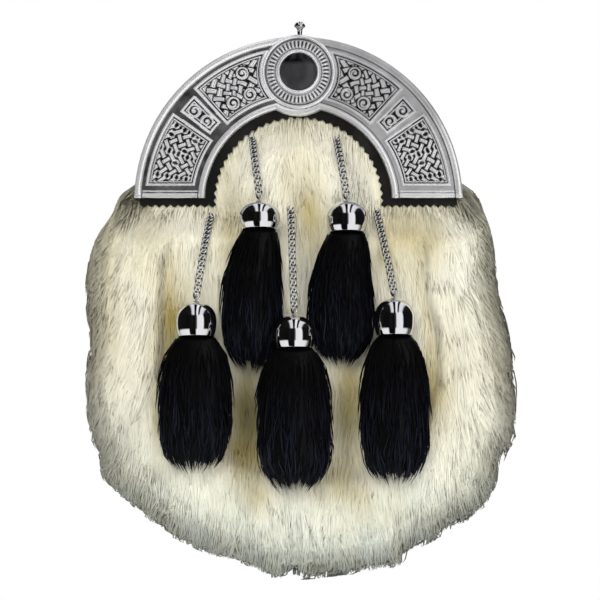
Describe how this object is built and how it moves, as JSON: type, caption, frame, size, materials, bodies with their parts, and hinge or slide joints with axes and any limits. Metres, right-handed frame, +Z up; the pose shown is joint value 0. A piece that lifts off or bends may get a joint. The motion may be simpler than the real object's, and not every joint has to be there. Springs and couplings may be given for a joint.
{
  "type": "sporran pouch",
  "caption": "Full-dress sporran pouch with a half-round metal cantle, dark stone, long white fur front, black tassels on chains and strap loops on its back",
  "frame": {"origin": "on the strap line behind the pouch, half way between the two belt loops", "axes": "+X to the right seen from the front, +Y to the back towards the wearer, +Z up"},
  "size_m": [0.1969, 0.0723, 0.2524],
  "materials": {
    "cantle_metal": "cast and antiqued, polished on the raised lines, dark in the recesses",
    "stone": "polished dark grey stone with a flat dome",
    "black_leather": "semi-gloss grained leather",
    "white_fur": "long ivory fur with yellow and cool patches",
    "chain_metal": "polished curb chain",
    "cap_metal": "mirror-polished bell",
    "black_hair": "straight black hair with a bluish sheen"
  },
  "bodies": {
    "pouch": {"cantle": "cantle_metal", "cantle_stone": "stone", "rear_frame": "cantle_metal", "frame_hinge_left": "cantle_metal", "frame_hinge_right": "cantle_metal", "cantle_leather": "black_leather", "pouch_body": "black_leather", "belt_loop_left": "black_leather", "belt_loop_right": "black_leather", "fur_front": "white_fur", "chain_upper_left": "chain_metal", "tassel_cap_upper_left": "cap_metal", "tassel_fur_upper_left": "black_hair", "chain_upper_right": "chain_metal", "tassel_cap_upper_right": "cap_metal", "tassel_fur_upper_right": "black_hair", "chain_lower_left": "chain_metal", "tassel_cap_lower_left": "cap_metal", "tassel_fur_lower_left": "black_hair", "chain_lower_middle": "chain_metal", "tassel_cap_lower_middle": "cap_metal", "tassel_fur_lower_middle": "black_hair", "chain_lower_right": "chain_metal", "tassel_cap_lower_right": "cap_metal", "tassel_fur_lower_right": "black_hair"},
    "catch": {"catch_knob": "cantle_metal"}
  },
  "joints": [
    {"name": "catch_press", "type": "slide", "parent": "pouch", "child": "catch", "axis": [0, 0, 1], "range_m": [-0.002, 0], "stiffness_N_per_m": 300, "springref_m": 0.001}
  ]
}
